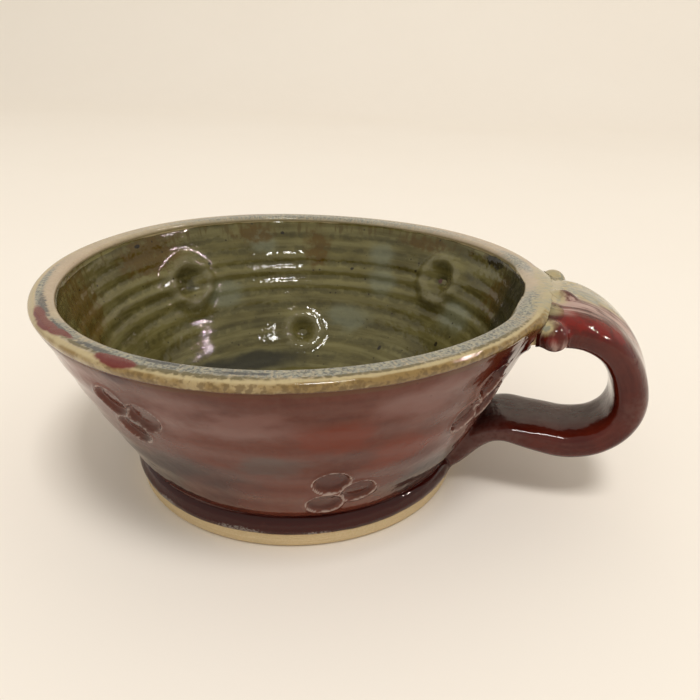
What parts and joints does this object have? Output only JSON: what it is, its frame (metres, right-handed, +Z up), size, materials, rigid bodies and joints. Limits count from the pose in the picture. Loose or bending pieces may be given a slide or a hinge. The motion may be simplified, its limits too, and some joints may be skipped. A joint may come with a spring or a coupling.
{
  "type": "soup mug",
  "caption": "Wide flared stoneware soup mug with a pulled strap handle, clay pellets at the handle joint, trefoil stamps round the wall and a trimmed foot.",
  "frame": {"origin": "centre of the foot, on the surface the mug stands on", "axes": "+Z up along the bowl's axis, +X towards the handle, +Y to the left of someone who looks from the bowl towards the handle"},
  "size_m": [0.1778, 0.1482, 0.0634],
  "materials": {
    "stoneware_clay": "bare fired buff stoneware, smooth and matte",
    "fired_slip": "fired joining slip, matte",
    "green_liner_glaze": "glossy olive celadon glaze with iron specks",
    "oxblood_glaze": "glossy oxblood glaze with a mauve bloom",
    "rutile_rim_glaze": "satin cream rutile glaze with blue-grey specks",
    "handle_oxblood_glaze": "glossy oxblood glaze under cream and lilac runs"
  },
  "bodies": {
    "root": {"thrown_bowl": "stoneware_clay", "upper_slip_joint": "fired_slip", "lower_slip_joint": "fired_slip", "pulled_handle": "stoneware_clay", "front_pellet": "stoneware_clay", "middle_pellet": "stoneware_clay", "rear_pellet": "stoneware_clay", "liner_glaze": "green_liner_glaze", "outside_glaze": "oxblood_glaze", "rim_glaze": "rutile_rim_glaze", "handle_glaze": "handle_oxblood_glaze"}
  },
  "joints": []
}
